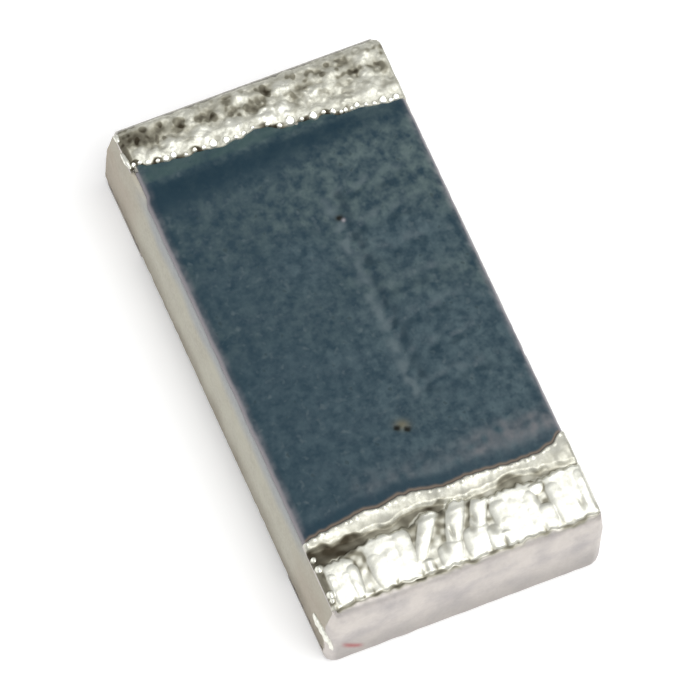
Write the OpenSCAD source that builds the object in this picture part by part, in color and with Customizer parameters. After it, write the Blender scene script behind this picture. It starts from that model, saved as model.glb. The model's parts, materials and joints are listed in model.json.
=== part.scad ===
// Thick-film chip resistor, 3.1 x 1.6 mm, lying on its solder pads.
// X runs along the chip, Y across it and Z up.
// The origin is the middle of the plane that the pads rest on.
// A ceramic block carries printed layers on its top. Each end is wrapped by three skins,
// one over the other: silver, nickel and tin.

/* [Ceramic substrate] */
// Length of the ceramic block between its two ends
substrate_length = 3.02; // [2.7:0.01:3.6]
// Width of the ceramic block at its widest
substrate_width = 1.60; // [1.5:0.01:2.0]
// Thickness of the ceramic block
substrate_thickness = 0.50; // [0.3:0.01:0.8]
// How far the scribed bevel leans in along the top of each long side
scribe_inset = 0.035; // [0.01:0.005:0.06]
// How far down each long side the scribed bevel runs
scribe_depth = 0.16; // [0.05:0.01:0.25]
// Bevel along the bottom of each long side
bottom_bevel = 0.02; // [0.005:0.005:0.05]
// Bevel along the top and bottom edges of each end
end_bevel = 0.02; // [0.005:0.005:0.025]
// Flat cut across each upright corner
corner_cut = 0.05; // [0.03:0.005:0.08]

/* [Electrodes] */
// Thickness of the silver electrodes printed on both faces
electrode_thickness = 0.012; // [0.008:0.001:0.02]
// Bare ceramic left beside the electrodes along the long sides
electrode_margin = 0.045; // [0.035:0.005:0.08]
// Length of the electrodes on the solder side
bottom_electrode_length = 0.45; // [0.3:0.01:0.7]

/* [Silver edge skins] */
// Thickness of the silver skin round each end
edge_thickness = 0.010; // [0.006:0.001:0.02]
// Outer radius of the silver skin where it turns onto the faces
edge_radius = 0.035; // [0.03:0.001:0.05]
// Reach of the left skin over the top, on the centre line
left_lip = 0.32; // [0.25:0.01:0.45]
// Reach of the right skin over the top
right_lip = 0.27; // [0.2:0.01:0.45]
// Bare ceramic left beside the silver skins along the long sides
skin_margin = 0.03; // [0.015:0.005:0.035]
// Angle by which the left lip and the coat beside it run out of square
left_skew = 4.5; // [0:0.5:8]

/* [Nickel and tin plating] */
// Thickness of the nickel barrier
nickel_thickness = 0.008; // [0.005:0.001:0.012]
// Thickness of the tin over the nickel
tin_thickness = 0.030; // [0.02:0.001:0.04]
// Radius of the tin's upright corners
tin_corner_radius = 0.06; // [0.04:0.005:0.07]
// Radius along the inner edges of the tin pads
tin_lip_radius = 0.018; // [0.005:0.001:0.02]
// Bevel along the long edges of the tin pads
tin_edge_bevel = 0.014; // [0.005:0.001:0.018]
// Width of the plated strip between the right lip and the coat
right_band = 0.18; // [0.14:0.01:0.25]
// Width of the furrow in the tin at the edge of the right lip
furrow_width = 0.075; // [0.02:0.005:0.1]
// Tin left in the floor of the furrow
furrow_floor = 0.007; // [0.004:0.001:0.01]
// Tin over the nickel at the edges of the plated strip
band_tin = 0.016; // [0.01:0.001:0.02]
// Rise of the rounded crown along the plated strip
band_crown = 0.012; // [0.004:0.001:0.014]

/* [Resistive film] */
// Thickness of the resistive film
film_thickness = 0.012; // [0.008:0.001:0.02]
// Width of the resistive film
film_width = 1.30; // [1.1:0.01:1.36]
// Length by which the film lies on each top electrode
film_overlap = 0.10; // [0.06:0.01:0.2]

/* [Laser trim] */
// Width of the cut burnt through the film and its glass
kerf_width = 0.05; // [0.03:0.005:0.07]
// Distance of the first cross cut from the left end of the film
trim_start = 0.29; // [0.1:0.01:0.5]
// Length of the cut that runs along the film
trim_run = 1.21; // [0.4:0.01:1.21]
// Distance of that cut from the film's edge
trim_depth = 0.475; // [0.3:0.005:0.7]
// Spacing of the cross cuts
trim_pitch = 0.20; // [0.15:0.01:0.3]
// Film left uncut between the cross cuts and the film's edge
trim_rim = 0.05; // [0.03:0.01:0.12]

/* [Glass and overcoat] */
// Thickness of the glass over the film
glass_thickness = 0.012; // [0.008:0.001:0.02]
// Width by which the glass covers the film's edges
glass_margin = 0.02; // [0.01:0.005:0.03]
// Thickness of the coloured overcoat above the glass
coat_thickness = 0.020; // [0.012:0.001:0.03]
// Thickness of the overcoat at its edges
coat_edge = 0.020; // [0.014:0.001:0.024]
// Length by which the overcoat covers the left end of the glass
left_coat_cover = 0.18; // [0.12:0.01:0.3]
// Length by which the overcoat covers the right end of the glass
right_coat_cover = 0.05; // [0.03:0.01:0.15]
// Bare ceramic left beside the overcoat along the long sides
coat_margin = 0.006; // [0.002:0.001:0.015]
// Width of the hollows where the overcoat sinks over the trim cuts
sink_width = 0.09; // [0.08:0.005:0.12]
// Depth of those hollows
sink_depth = 0.006; // [0.003:0.001:0.01]
// Diameter of the pinhole in the overcoat
pinhole_diameter = 0.05; // [0.02:0.005:0.08]
// Depth of the pinhole
pinhole_depth = 0.010; // [0.004:0.001:0.011]
// Distance of the pinhole from the right edge of the overcoat
pinhole_from_edge = 0.39; // [0.2:0.01:0.6]
// Distance of the pinhole from the centre line
pinhole_offset = -0.02; // [-0.3:0.01:0.05]

/* [Hidden] */
$fn = 48;

// How far each skin stands out from the ceramic's end
edge_build = edge_thickness;
nickel_build = edge_build + nickel_thickness;
tin_build = nickel_build + tin_thickness;

// Heights above the seating plane
ceramic_bottom = electrode_thickness + tin_build;
ceramic_top = ceramic_bottom + substrate_thickness;
ceramic_middle = ceramic_bottom + substrate_thickness / 2;
electrode_top = ceramic_top + electrode_thickness;
tin_top = electrode_top + tin_build;
glass_top = electrode_top + film_thickness + glass_thickness;
coat_top = glass_top + coat_thickness;
coat_edge_top = electrode_top + coat_edge;
band_nickel_top = electrode_top + nickel_thickness;

// Places along the length
half_length = substrate_length / 2;
left_lip_x = left_lip - half_length;
right_lip_x = half_length - right_lip;
right_coat_x = right_lip_x - right_band;
skew_run = substrate_width / 2 * tan(left_skew);
left_coat_x = left_lip_x - skew_run;
glass_left_x = left_lip_x + left_coat_cover;
glass_right_x = right_coat_x - right_coat_cover;
film_left_x = glass_left_x + glass_margin;
film_right_x = glass_right_x - glass_margin;
left_electrode_x = film_left_x + film_overlap;
right_electrode_x = film_right_x - film_overlap;
bottom_electrode_x = half_length - bottom_electrode_length;
solder_pad_x = bottom_electrode_x - nickel_thickness - tin_thickness;
tin_pad_x = right_lip_x - nickel_thickness - furrow_floor;
band_right_x = tin_pad_x - furrow_width;

// Places across the width
top_width = substrate_width - 2 * scribe_inset;
bottom_width = substrate_width - 2 * bottom_bevel;
nickel_margin = skin_margin - nickel_thickness;
glass_width = film_width + 2 * glass_margin;
coat_width = top_width - 2 * coat_margin;
trim_line_y = film_width / 2 - trim_depth;
trim_tooth_end_y = film_width / 2 - trim_rim;
trim_first_x = film_left_x + trim_start;
trim_tooth_count = floor(trim_run / trim_pitch) + 1;

// Length of cutting solids, longer than the chip in every direction
reach = 2 * (substrate_length + substrate_width);

// Carries an outline drawn in X and Z across the chip.
module across(width) {
    rotate([90, 0, 0])
        linear_extrude(width, center = true)
            children();
}

// Carries an outline drawn in Y and Z along the chip.
module along(length) {
    rotate([90, 0, 90])
        linear_extrude(length, center = true)
            children();
}

// A closed outline from its right half, listed from the bottom up.
module mirrored_outline(right_half) {
    last = len(right_half) - 1;
    left_half = [for (i = [last:-1:0]) [-right_half[i][0], right_half[i][1]]];
    polygon(concat(right_half, left_half));
}

// A rectangle between two corners.
module span(low, high) {
    translate(low)
        square(high - low);
}

// A rectangle between two corners, with round corners.
module round_span(low, high, radius) {
    inset_x = [radius, 0];
    inset_y = [0, radius];
    span(low + inset_x, high - inset_x);
    span(low + inset_y, high - inset_y);
    for (x = [low[0] + radius, high[0] - radius], y = [low[1] + radius, high[1] - radius])
        translate([x, y])
            circle(radius);
}

// The sharp corner outside an arc: it rounds a wall that lies on the +X, -Y side of the origin.
module round_off(radius) {
    difference() {
        span([-radius, -radius], [radius, radius]);
        translate([radius, -radius])
            circle(radius);
    }
}

// The end view that the ceramic and the skins share: upright sides with a scribed top bevel.
// A skin that the next one covers stands back from the sides by an inset.
module flanks(inset = 0) {
    side_y = substrate_width / 2 - inset;
    top_y = top_width / 2 - inset;
    bottom_y = bottom_width / 2 - inset;
    along(reach)
        mirrored_outline([
            [bottom_y, -reach],
            [bottom_y, ceramic_bottom],
            [side_y, ceramic_bottom + bottom_bevel],
            [side_y, ceramic_top - scribe_depth],
            [top_y, ceramic_top],
            [top_y, ceramic_top + reach]
        ]);
}

// The end view of the tin: the flanks, with bevelled long edges.
module tin_flanks() {
    along(reach)
        mirrored_outline([
            [bottom_width / 2 - tin_edge_bevel, 0],
            [bottom_width / 2, tin_edge_bevel],
            [bottom_width / 2, ceramic_bottom],
            [substrate_width / 2, ceramic_bottom + bottom_bevel],
            [substrate_width / 2, ceramic_top - scribe_depth],
            [top_width / 2, ceramic_top],
            [top_width / 2, tin_top - tin_edge_bevel],
            [top_width / 2 - tin_edge_bevel, tin_top]
        ]);
}

// The plan of the ceramic, grown by a build: both ends, with the corners cut at 45 degrees.
// The cuts run on past the long sides, which the flanks give.
module cut_corner_plan(build) {
    end_x = half_length + build;
    cut = corner_cut - (sqrt(2) - 1) * build;
    side_y = substrate_width / 2;
    past = side_y;
    linear_extrude(reach, center = true)
        mirrored_outline([
            [end_x - cut - past, -side_y - past],
            [end_x, cut - side_y],
            [end_x, side_y - cut],
            [end_x - cut - past, side_y + past]
        ]);
}

// The side view of the ceramic with its electrodes, grown by a build.
module wrapped_section(build) {
    end_x = half_length + build;
    face = electrode_thickness + build;
    radius = edge_radius - edge_thickness + build;
    across(reach)
        round_span([-end_x, ceramic_bottom - face], [end_x, ceramic_top + face], radius);
}

// The open middle of the underside, between the solder pads of a skin.
module under_gap(edge_x) {
    translate([-edge_x, -reach / 2, ceramic_middle - reach])
        cube([2 * edge_x, reach, reach]);
}

// The outer form of a skin, filled, with its pads on the underside.
module wrap_form(build, inset, bottom_edge) {
    difference() {
        intersection() {
            wrapped_section(build);
            flanks(inset);
            cut_corner_plan(build);
        }
        under_gap(bottom_edge);
    }
}

module silver_form() {
    wrap_form(edge_build, skin_margin, bottom_electrode_x);
}

module nickel_form() {
    wrap_form(nickel_build, nickel_margin, bottom_electrode_x - nickel_thickness);
}

// All that lies left of the skewed line where the left lip meets the overcoat.
module left_of_skew() {
    translate([left_lip_x, 0, 0])
        rotate([0, 0, -left_skew])
            translate([-reach, -reach / 2, -reach / 2])
                cube(reach);
}

// The left end's share of a skin: up to the skewed line above, and the left half below.
module left_zone() {
    left_of_skew();
    translate([-reach, -reach / 2, ceramic_middle - reach])
        cube(reach);
}

// The right end's share of a skin: up to an inner edge above, and the right half below.
module right_zone(top_edge) {
    translate([top_edge, -reach / 2, -reach / 2])
        cube(reach);
    translate([0, -reach / 2, ceramic_middle - reach])
        cube(reach);
}

// The ceramic's ends, top and bottom, carried out past its long sides.
module ceramic_core() {
    intersection() {
        across(reach)
            mirrored_outline([
                [half_length - end_bevel, ceramic_bottom],
                [half_length, ceramic_bottom + end_bevel],
                [half_length, ceramic_top - end_bevel],
                [half_length - end_bevel, ceramic_top]
            ]);
        cut_corner_plan(0);
    }
}

// A flat printed rectangle between two places along the chip and two heights.
module printed_pad(x_low, x_high, width, bottom, top) {
    translate([0, 0, bottom])
        linear_extrude(top - bottom)
            span([x_low, -width / 2], [x_high, width / 2]);
}

module left_top_pad(bottom = ceramic_top) {
    width = top_width - 2 * electrode_margin;
    printed_pad(end_bevel - half_length, left_electrode_x, width, bottom, electrode_top);
}

module right_top_pad(bottom = ceramic_top) {
    width = top_width - 2 * electrode_margin;
    printed_pad(right_electrode_x, half_length - end_bevel, width, bottom, electrode_top);
}

module right_bottom_pad(inner_x = bottom_electrode_x, top = ceramic_bottom) {
    width = bottom_width - 2 * electrode_margin;
    bottom = ceramic_bottom - electrode_thickness;
    printed_pad(inner_x, half_length - end_bevel, width, bottom, top);
}

module left_bottom_pad(inner_x = bottom_electrode_x, top = ceramic_bottom) {
    mirror([1, 0, 0])
        right_bottom_pad(inner_x, top);
}

// A printed layer that steps up over the inner edges of both top electrodes.
module stepped_layer(x_low, x_high, width, thickness, bottom = ceramic_top) {
    step_top = electrode_top + thickness;
    across(width) {
        span([x_low, bottom], [x_high, ceramic_top + thickness]);
        span([x_low, bottom], [left_electrode_x + thickness, step_top]);
        span([right_electrode_x - thickness, bottom], [x_high, step_top]);
    }
}

module film_layer(bottom = ceramic_top) {
    stepped_layer(film_left_x, film_right_x, film_width, film_thickness, bottom);
}

module glass_layer(bottom = ceramic_top) {
    stepped_layer(glass_left_x, glass_right_x, glass_width, film_thickness + glass_thickness, bottom);
}

// The comb of laser cuts: one long cut, and cross cuts from it towards the film's edge.
module trim_comb(width, bottom) {
    trim_last_x = trim_first_x + (trim_tooth_count - 1) * trim_pitch;
    translate([0, 0, bottom])
        linear_extrude(reach)
            union() {
                span(
                    [trim_first_x - width / 2, trim_line_y - width / 2],
                    [trim_last_x + width / 2, trim_line_y + width / 2]
                );
                for (i = [0:trim_tooth_count - 1]) {
                    tooth_x = trim_first_x + i * trim_pitch;
                    span([tooth_x - width / 2, trim_line_y], [tooth_x + width / 2, trim_tooth_end_y]);
                }
            }
}

// The overcoat as it lies over everything printed: flat, with edges that slope down.
module coat_mound() {
    difference() {
        intersection() {
            across(reach)
                polygon([
                    [left_coat_x, ceramic_top],
                    [right_coat_x, ceramic_top],
                    [right_coat_x, coat_edge_top],
                    [glass_right_x, coat_top],
                    [glass_left_x, coat_top],
                    [left_coat_x, coat_edge_top]
                ]);
            along(reach)
                mirrored_outline([
                    [coat_width / 2, ceramic_middle],
                    [coat_width / 2, coat_edge_top],
                    [glass_width / 2, coat_top]
                ]);
        }
        left_of_skew();
    }
}

// The right nickel, filled: over the lip, and over the strip from an inner edge to the lip.
module right_nickel_form(inner_x) {
    intersection() {
        nickel_form();
        right_zone(right_lip_x - nickel_thickness);
    }
    intersection() {
        across(reach)
            span([inner_x, ceramic_middle], [right_lip_x, band_nickel_top]);
        flanks(nickel_margin);
    }
}

// Side view of the tin on the plated strip: a low crown, and the floor of the furrow beside it.
module band_tin_section() {
    width = band_right_x - right_coat_x;
    radius = (width * width / 4 + band_crown * band_crown) / (2 * band_crown);
    crown_top = band_nickel_top + band_tin + band_crown;
    intersection() {
        span([right_coat_x, ceramic_middle], [band_right_x, crown_top + radius]);
        translate([right_coat_x + width / 2, crown_top - radius])
            circle(radius);
    }
    span([right_coat_x, ceramic_middle], [right_lip_x, band_nickel_top + furrow_floor]);
}

// Rounds the tin's upright corners and the inner edges of its solder pads.
module tin_roundings() {
    for (end = [0, 1], side = [0, 1])
        mirror([end, 0, 0])
            mirror([0, side, 0])
                translate([-half_length - tin_build, substrate_width / 2, 0])
                    linear_extrude(reach, center = true)
                        round_off(tin_corner_radius);
    for (end = [0, 1])
        mirror([end, 0, 0])
            translate([solder_pad_x, 0, 0])
                mirror([0, 0, 1])
                    across(reach)
                        round_off(tin_lip_radius);
}

module ceramic_substrate() {
    color("#d2ccbf")
        intersection() {
            ceramic_core();
            flanks();
        }
}

module top_electrode_left() {
    color("#b9b8b2")
        left_top_pad();
}

module top_electrode_right() {
    color("#b9b8b2")
        right_top_pad();
}

module bottom_electrode_left() {
    color("#b9b8b2")
        left_bottom_pad();
}

module bottom_electrode_right() {
    color("#b9b8b2")
        right_bottom_pad();
}

module resistive_film() {
    color("#2c2b2a")
        difference() {
            film_layer();
            left_top_pad(ceramic_middle);
            right_top_pad(ceramic_middle);
            trim_comb(kerf_width, ceramic_middle);
        }
}

module glass_coat() {
    color("#6f7f72")
        difference() {
            glass_layer();
            film_layer(ceramic_middle);
            left_top_pad(ceramic_middle);
            right_top_pad(ceramic_middle);
            trim_comb(kerf_width, ceramic_middle);
        }
}

// The overcoat fills the laser cuts and sinks a little over them.
module overcoat() {
    color("#40525a")
        difference() {
            coat_mound();
            left_top_pad(ceramic_middle);
            right_top_pad(ceramic_middle);
            difference() {
                glass_layer(ceramic_middle);
                trim_comb(kerf_width, ceramic_middle);
            }
            trim_comb(sink_width, coat_top - sink_depth);
            translate([right_coat_x - pinhole_from_edge, pinhole_offset, coat_top - pinhole_depth])
                cylinder(h = reach, d = pinhole_diameter);
        }
}

module edge_electrode_left() {
    color("#a8a69f")
        difference() {
            intersection() {
                silver_form();
                left_zone();
            }
            ceramic_core();
            left_top_pad(ceramic_middle);
            left_bottom_pad(0, ceramic_middle);
        }
}

module edge_electrode_right() {
    color("#a8a69f")
        difference() {
            intersection() {
                silver_form();
                right_zone(right_lip_x);
            }
            ceramic_core();
            right_top_pad(ceramic_middle);
            right_bottom_pad(0, ceramic_middle);
        }
}

module nickel_barrier_left() {
    color("#8d8e86")
        difference() {
            intersection() {
                nickel_form();
                left_zone();
            }
            silver_form();
            ceramic_core();
        }
}

module nickel_barrier_right() {
    color("#8d8e86")
        difference() {
            right_nickel_form(right_coat_x);
            intersection() {
                silver_form();
                right_zone(right_lip_x);
            }
            ceramic_core();
            right_top_pad(ceramic_middle);
        }
}

module tin_plating_left() {
    color("#d3d3c8")
        difference() {
            intersection() {
                wrapped_section(tin_build);
                left_zone();
                tin_flanks();
            }
            under_gap(solder_pad_x);
            nickel_form();
            ceramic_core();
            tin_roundings();
            translate([left_lip_x, 0, tin_top])
                rotate([0, 0, -left_skew])
                    mirror([1, 0, 0])
                        across(reach)
                            round_off(tin_lip_radius);
        }
}

module tin_plating_right() {
    color("#d3d3c8")
        difference() {
            intersection() {
                union() {
                    intersection() {
                        wrapped_section(tin_build);
                        right_zone(tin_pad_x);
                    }
                    across(reach)
                        band_tin_section();
                }
                tin_flanks();
            }
            under_gap(solder_pad_x);
            right_nickel_form(0);
            ceramic_core();
            tin_roundings();
            translate([tin_pad_x, 0, tin_top])
                across(reach)
                    round_off(tin_lip_radius);
        }
}

ceramic_substrate();
top_electrode_left();
top_electrode_right();
bottom_electrode_left();
bottom_electrode_right();
resistive_film();
glass_coat();
overcoat();
edge_electrode_left();
edge_electrode_right();
nickel_barrier_left();
nickel_barrier_right();
tin_plating_left();
tin_plating_right();
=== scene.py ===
"""Thick-film chip resistor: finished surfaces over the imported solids, and the studio that shows them."""

import json
import math

import bpy
import numpy as np
from bpy.props import FloatProperty, FloatVectorProperty, IntProperty, PointerProperty
from mathutils import Matrix, Vector


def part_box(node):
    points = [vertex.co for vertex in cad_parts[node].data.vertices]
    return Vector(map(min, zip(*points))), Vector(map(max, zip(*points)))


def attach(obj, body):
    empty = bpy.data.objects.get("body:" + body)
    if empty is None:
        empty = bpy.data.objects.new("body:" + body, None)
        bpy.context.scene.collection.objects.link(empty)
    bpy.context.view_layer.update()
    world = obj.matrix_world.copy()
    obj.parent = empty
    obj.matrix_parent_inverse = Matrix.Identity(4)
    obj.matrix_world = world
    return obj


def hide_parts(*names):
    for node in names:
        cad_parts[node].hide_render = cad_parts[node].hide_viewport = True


bl_info = {
    "name": "Chip resistor finish",
    "version": (1, 0, 0),
    "blender": (4, 5, 0),
    "location": "View3D > Sidebar > Chip",
    "description": "Builds the coat, tin and ceramic of a chip resistor over its packed solids",
    "category": "Object",
}

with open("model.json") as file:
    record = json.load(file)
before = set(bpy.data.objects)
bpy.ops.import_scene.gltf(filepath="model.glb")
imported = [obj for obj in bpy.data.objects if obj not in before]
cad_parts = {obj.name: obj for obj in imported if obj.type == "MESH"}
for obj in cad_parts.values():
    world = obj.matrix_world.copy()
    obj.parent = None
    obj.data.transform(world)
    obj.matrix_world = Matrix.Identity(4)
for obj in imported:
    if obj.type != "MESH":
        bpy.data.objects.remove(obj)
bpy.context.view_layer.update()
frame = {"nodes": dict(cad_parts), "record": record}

MM = 0.001
UM = 0.000001
QUARTER = math.pi / 2.0
BODY = "root"
SHARP_ANGLE = math.radians(75.0)
SENSOR_WIDTH = 36.0

# Grid of the coat: stations along it, places across its top and places under it.
COAT_STATIONS, COAT_ACROSS, COAT_UNDER = 372, 240, 6
# How far the coat goes on under the left tin and under the plated strip, in micrometres.
LEFT_TUCK, RIGHT_TUCK = 70, 18
# Waves in each of the two sums that make the coat's grain.
GRAIN_WAVES = 60
# Grid of the ceramic: stations along it, steps up each side and places across its top and bottom.
CERAMIC_STATIONS, CERAMIC_STEPS, CERAMIC_FLAT = 300, 70, 8
# Grid of a terminal: places across its outside, steps down its side walls and places across its inside, and
# stations on its top, its upper rounding, its end face, its lower rounding and its solder side.
TIN_ACROSS, TIN_WALL, TIN_INSIDE = 390, 9, 10
TIN_STATIONS = (120, 37, 46, 13, 26)
# How far a terminal's side walls go into the ceramic at the end and at the bottom, and how far its inside
# stands in from them, in micrometres.
SINK_X, SINK_Z, INSIDE_INSET = 8, 4, 24
# The coat's double pit, in micrometres, and how its length is turned from the chip's.
PIT_X, PIT_Y, PIT_TURN = 680, -17, math.radians(62.0)
# The stain on the right end face, in micrometres along the unrolled plating and across.
STAIN_ALONG, STAIN_ACROSS = 1995, -655

CERAMIC_LOW, CERAMIC_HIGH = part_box("ceramic_substrate")
COAT_LOW, COAT_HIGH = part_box("overcoat")
TIN_LOW, TIN_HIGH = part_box("tin_plating_right")
NICKEL_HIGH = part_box("nickel_barrier_right")[1]


def number(name, text, value, **more):
    """Number property."""
    return FloatProperty(name=name, description=text, default=value, **more)


def length(name, text, size, **limits):
    """Length property, shown down to the micrometre."""
    return number(name, text, size, unit="LENGTH", precision=6, **limits)


def tint(name, text, value):
    """Colour property."""
    return FloatVectorProperty(name=name, description=text, default=value, min=0.0, max=1.0, subtype="COLOR")


def point(name, text, place):
    """Property for a point, given in millimetres."""
    metres = tuple(share * MM for share in place)
    return FloatVectorProperty(name=name, description=text, default=metres, subtype="XYZ", unit="LENGTH")


class ChipCeramic(bpy.types.PropertyGroup):
    """Sizes and colours of the fired block."""

    scribe_inset: length(
        "Scribe inset", "Inset of the scribed top edge from the left long side", 35 * UM, min=0.0)
    back_inset: length(
        "Right scribe inset", "Inset of the scribed top edge from the right long side", 20 * UM, min=0.0)
    scribe_depth: length("Scribe depth", "Height of the leaning part of the long side", 160 * UM, min=UM)
    bottom_bevel: length("Bottom bevel", "Width and height of the bottom edge's slope", 6 * UM, min=UM)
    roughness_height: length("Roughness height", "Unevenness of the fired surface", 0.8 * UM, min=0.0)
    pale: tint("Pale ceramic", "Colour of the fired block", (0.550, 0.533, 0.440))
    stained: tint("Stained ceramic", "Colour of the block's darker grains", (0.475, 0.450, 0.375))
    upper: tint("Upper ceramic", "Colour of the block along its scribed edge", (0.385, 0.405, 0.420))
    rosy: tint("Rosy ceramic", "Colour of the block towards its ends", (0.465, 0.410, 0.330))
    # Painted shade: the block is coloured darker and browner towards its bottom edge, near the floor.
    lower: tint("Lower ceramic", "Colour of the block along its bottom edge", (0.230, 0.195, 0.145))


class ChipCoat(bpy.types.PropertyGroup):
    """Sizes and colours of the grey-blue coat."""

    skew: number("Skew", "Angle by which the left edge is out of square", math.radians(4.5), subtype="ANGLE")
    left_edge: length("Left edge", "Where the left edge crosses the middle of the chip", -1190 * UM)
    shoulder: length("Shoulder", "Width of the rounded shoulder along the long sides", 95 * UM, min=UM)
    end_slope: length("End slope", "Length of the slope down to the left terminal", 175 * UM, min=UM)
    grain_size: length("Grain size", "Spacing of the grains in the coat", 44 * UM, min=UM)
    grain_height: length("Grain height", "Height of the grains in the coat", 0.32 * UM, min=0.0)
    trim_line: length("Trim line", "Where the long trim cut lies across the chip", 175 * UM)
    trim_first: length("First tooth", "Where the first short trim cut lies along the chip", -700 * UM)
    trim_pitch: length("Tooth pitch", "Spacing of the short trim cuts", 200 * UM, min=UM)
    trim_teeth: IntProperty(name="Teeth", description="How many short trim cuts there are", default=7, min=1)
    trim_depth: length("Trim relief", "Depth of the hollows over the trim cuts", 7.0 * UM, min=0.0)
    blue: tint("Blue", "Colour of the smooth coat", (0.009, 0.034, 0.052))
    grey: tint("Grey", "Colour of the pale grains", (0.075, 0.118, 0.1345))
    olive: tint("Olive", "Colour of the pale grains towards the left terminal", (0.083, 0.123, 0.125))
    fleck: tint("Fleck", "Colour of the scattered pale flecks", (0.085, 0.118, 0.130))
    spot: tint("Spot", "Colour of the scattered dark spots", (0.004, 0.020, 0.026))
    green: tint("Green", "Colour of the edge by the left terminal", (0.034, 0.072, 0.073))
    # Painted shade: the smooth slopes at the ends are coloured darker than the coat.
    slope: tint("Slope", "Colour of the smooth slopes at the ends", (0.0015, 0.0235, 0.0415))
    # Painted highlight and painted shade on the two sides of the trim cuts.
    ridge: tint("Ridge", "Colour of the lit sides of the trim cuts", (0.105, 0.142, 0.156))
    dip_shade: tint("Dip", "Colour of the shaded sides of the trim cuts", (0.008, 0.028, 0.042))
    # Painted highlight: the coat by the right terminal is coloured lighter where its slope faces the key lamp.
    lit_patch: tint("Brightened", "Colour of the rubbed patch by the right terminal", (0.128, 0.135, 0.146))
    brown: tint("Brown", "Colour of the rim beside the pit", (0.125, 0.118, 0.078))
    rust: tint("Rust", "Colour of the line along the plated strip", (0.22, 0.160, 0.112))
    dark: tint("Dark", "Colour inside the pit and the speck", (0.004, 0.005, 0.003))
    thin: tint("Thin edge", "Colour where the coat thins out over the ceramic", (0.30, 0.28, 0.30))


class ChipTin(bpy.types.PropertyGroup):
    """Sizes and colours of the plated terminals."""

    end_radius: length("End radius", "Rounding of the top edge of the right end", 73 * UM, min=UM)
    low_radius: length("Lower radius", "Rounding of the bottom edge of an end", 34 * UM, min=UM)
    corner_radius: length("Corner radius", "Rounding of the upright corners", 60 * UM, min=UM)
    long_edge: length("Long edge", "Rounding of the edges along the sides", 22 * UM, min=UM)
    far_radius: length("Left end radius", "Rounding of the top edge of the left end", 70 * UM, min=UM)
    far_inset: length("Left end inset", "Inset of the left end from the longest place", 27 * UM, min=0.0)
    bright: tint("Bright tin", "Colour of clean tin", (0.90, 0.90, 0.82))
    speck: tint("Speck", "Colour of the fine specks in clean tin", (0.60, 0.60, 0.51))
    # These two colours also carry painted shade in the furrow, along the lip by the coat, at the seam and
    # along the inner rim.
    tarnish: tint("Tarnished tin", "Colour of lightly tarnished tin", (0.34, 0.325, 0.255))
    dull: tint("Dull tin", "Colour of the tarnish in the hollows", (0.050, 0.040, 0.023))
    satin: tint("Satin tin", "Colour of the even tin on the end faces", (0.665, 0.625, 0.590))
    cloud: tint("Cloud", "Colour of the clouds on the end faces", (0.455, 0.43, 0.43))
    shade: tint("Shade", "Colour of the end faces towards the bottom", (0.42, 0.395, 0.375))
    mark: tint("Mark", "Colour of the faint stain on the right end face", (0.43, 0.15, 0.15))


class ChipStage(bpy.types.PropertyGroup):
    """Camera, lamps and floor."""

    camera_place: point("Camera place", "Where the camera stands", (21.951, -11.940, 54.549))
    target: point("Target", "Point in the middle of the picture", (0.0282, -0.0243, 0.3))
    roll: number("Roll", "Turn of the camera about its own axis", math.radians(-5.948), subtype="ANGLE")
    lens: number("Lens", "Focal length on a 36 mm sensor, in millimetres", 573.2, min=1.0)
    key_power: number("Key power", "Power of the large lamp overhead", 0.064, min=0.0, unit="POWER")
    key_size: length("Key size", "Diameter of the large lamp overhead", 98 * MM, min=MM)
    key_place: point("Key place", "Where the large lamp hangs", (31, 26, 80))
    fill_power: number("Fill power", "Power of the lamp low on the left", 0.011, min=0.0, unit="POWER")
    fill_size: length("Fill size", "Diameter of the lamp low on the left", 45 * MM, min=MM)
    fill_place: point("Fill place", "Where the lamp low on the left stands", (-32, -80, 24))
    sky: number("Sky", "Brightness of the room overhead", 0.62, min=0.0)
    wall: number("Wall", "Brightness of the room at the horizon", 0.34, min=0.0)
    floor: tint("Floor", "Colour of the pale floor", (0.86, 0.86, 0.86))
    glow: number("Floor glow", "Light the floor adds for the camera and for reflections", 0.26, min=0.0)


def ripples(x, y, size, seed, count=28):
    """Smooth random field of unit spread: a sum of cosine waves whose lengths lie round size, in micrometres,
    and whose directions and phases are drawn from seed."""
    draw = np.random.default_rng(seed)
    turn = draw.uniform(0.0, math.tau, count)
    phase = draw.uniform(0.0, math.tau, count)
    step = math.tau / (size * UM * draw.uniform(0.7, 1.45, count))
    total = np.zeros(np.broadcast(x, y).shape)
    for k in range(count):
        total += np.cos((x * math.cos(turn[k]) + y * math.sin(turn[k])) * step[k] + phase[k])
    return total * math.sqrt(2.0 / count)


def smooth_step(value, low, high):
    """Nought below low, one above high, and 3 t^2 - 2 t^3 between them."""
    t = np.clip((value - low) / (high - low), 0.0, 1.0)
    return t * t * (3.0 - 2.0 * t)


def ramp(value, low, high):
    """Smooth step up from low to high, both in micrometres."""
    return smooth_step(value, low * UM, high * UM)


def fall(value, low, high):
    """Smooth step down from one at low to nought at high, both in micrometres."""
    return 1.0 - ramp(value, low, high)


def hump(value, middle, width):
    """Gaussian hump exp(-((value - middle) / width)^2), with middle and width in micrometres."""
    return np.exp(-((value - middle * UM) / (width * UM)) ** 2)


def patch(x, y, place, reach, power=2):
    """Soft patch exp(-u^power - v^power), where u and v are the distances from place along x and y in the
    reaches along them, all in micrometres."""
    u = (x - place[0] * UM) / (reach[0] * UM)
    v = (y - place[1] * UM) / (reach[1] * UM)
    return np.exp(-u ** power - v ** power)


def quarter_round(depth, radius):
    """Height share of a quarter circle: rises from 0 at depth 0 to 1 at depth radius."""
    t = 1.0 - np.clip(depth / radius, 0.0, 1.0)
    return np.sqrt(np.maximum(1.0 - t * t, 0.0))


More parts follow.
